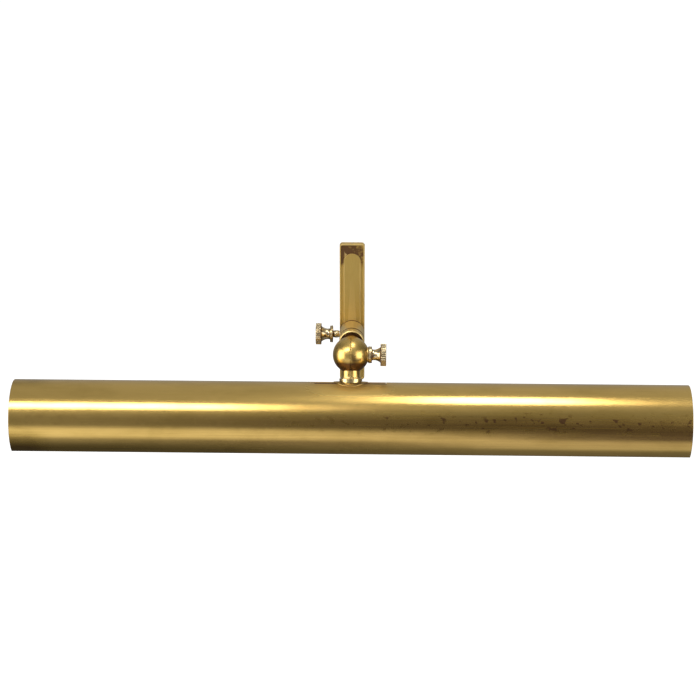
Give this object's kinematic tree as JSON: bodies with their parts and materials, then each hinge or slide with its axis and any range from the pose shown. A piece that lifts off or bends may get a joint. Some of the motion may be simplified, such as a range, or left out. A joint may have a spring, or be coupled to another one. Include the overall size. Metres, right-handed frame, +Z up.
{
  "type": "picture light",
  "caption": "Wall or frame picture light: a long open-bottomed tubular shade on a split ball joint, with a swivel boss, two thumb-screws and a narrow backplate.",
  "frame": {"origin": "middle of the two wall screw holes, on the strap's back face", "axes": "+Z up, +Y out of the back into the wall, -Y the front, X along the shade"},
  "size_m": [0.61, 0.1157, 0.1618],
  "materials": {
    "plate_brass": "aged satin brass with dark patina in the recess",
    "fitting_brass": "aged satin brass",
    "knob_brass": "aged brass, bright on the fluted edges",
    "shade_brass": "aged brass, brushed lengthwise, patina in patches",
    "bush_bronze": "plain turned bronze",
    "contact_brass": "bright pressed brass",
    "zinc_steel": "bright zinc plate",
    "lamp_cap": "bright rolled metal",
    "filament": "drawn wire",
    "porcelain": "glazed white",
    "lamp_glass": "clear glass",
    "rubber": "matt black",
    "fibre": "pressed fibre",
    "lead_sleeve": "woven glass-fibre sleeve"
  },
  "bodies": {
    "mount": {"backplate": "plate_brass", "mounting_strap": "zinc_steel", "strap_grub_screws": "zinc_steel", "earth_screw": "fitting_brass", "wire_grommet": "rubber", "swivel_boss": "fitting_brass", "boss_end_ring": "fitting_brass", "boss_screws": "zinc_steel", "swivel_bush": "bush_bronze"},
    "swivel": {"swivel_tongue": "fitting_brass", "spigot_retaining_ring": "zinc_steel"},
    "swivel_knob": {"swivel_knob_head": "knob_brass", "swivel_knob_screw": "zinc_steel"},
    "head": {"ball_half_left": "fitting_brass", "ball_half_right": "fitting_brass", "friction_washers": "fibre", "tilt_washer": "fitting_brass", "neck_collar": "fitting_brass", "saddle_washer": "fitting_brass", "crown_plate": "shade_brass", "neck_nipple": "zinc_steel", "nipple_lock_washer": "zinc_steel", "nipple_lock_nut": "fitting_brass", "socket_bracket": "zinc_steel", "shade_shell": "shade_brass", "end_cap_right": "shade_brass", "end_cap_left": "shade_brass", "lampholder_right": "porcelain", "lampholder_left": "porcelain", "lampholder_shell_right": "contact_brass", "lampholder_shell_left": "contact_brass", "lampholder_contact_right": "contact_brass", "lampholder_contact_left": "contact_brass", "lampholder_screws": "zinc_steel", "lamp_lead_right": "lead_sleeve", "lamp_lead_left": "lead_sleeve"},
    "tilt_knob": {"tilt_knob_head": "knob_brass", "tilt_knob_screw": "zinc_steel"},
    "lamp_left": {"lamp_base_left": "lamp_cap", "lamp_glass_left": "lamp_glass", "lamp_filament_left": "filament"},
    "lamp_right": {"lamp_base_right": "lamp_cap", "lamp_glass_right": "lamp_glass", "lamp_filament_right": "filament"}
  },
  "joints": [
    {"name": "swivel", "type": "hinge", "parent": "mount", "child": "swivel", "pos_m": [0, -0.02, -0.0183], "axis": [0, 1, 0], "range_deg": [-90, 90]},
    {"name": "tilt", "type": "hinge", "parent": "swivel", "child": "head", "pos_m": [0, -0.0569, -0.0183], "axis": [1, 0, 0], "range_deg": [-45, 30]},
    {"name": "swivel_knob_turn", "type": "hinge", "parent": "mount", "child": "swivel_knob", "pos_m": [-0.02, -0.012, -0.0183], "axis": [1, 0, 0], "continuous": true},
    {"name": "tilt_knob_turn", "type": "hinge", "parent": "head", "child": "tilt_knob", "pos_m": [0.02, -0.0569, -0.0183], "axis": [1, 0, 0], "continuous": true},
    {"name": "lamp_left_turn", "type": "hinge", "parent": "head", "child": "lamp_left", "pos_m": [-0.06, -0.08175, -0.07159], "axis": [1, 0, 0], "continuous": true},
    {"name": "lamp_right_turn", "type": "hinge", "parent": "head", "child": "lamp_right", "pos_m": [0.06, -0.08175, -0.07159], "axis": [1, 0, 0], "continuous": true}
  ]
}
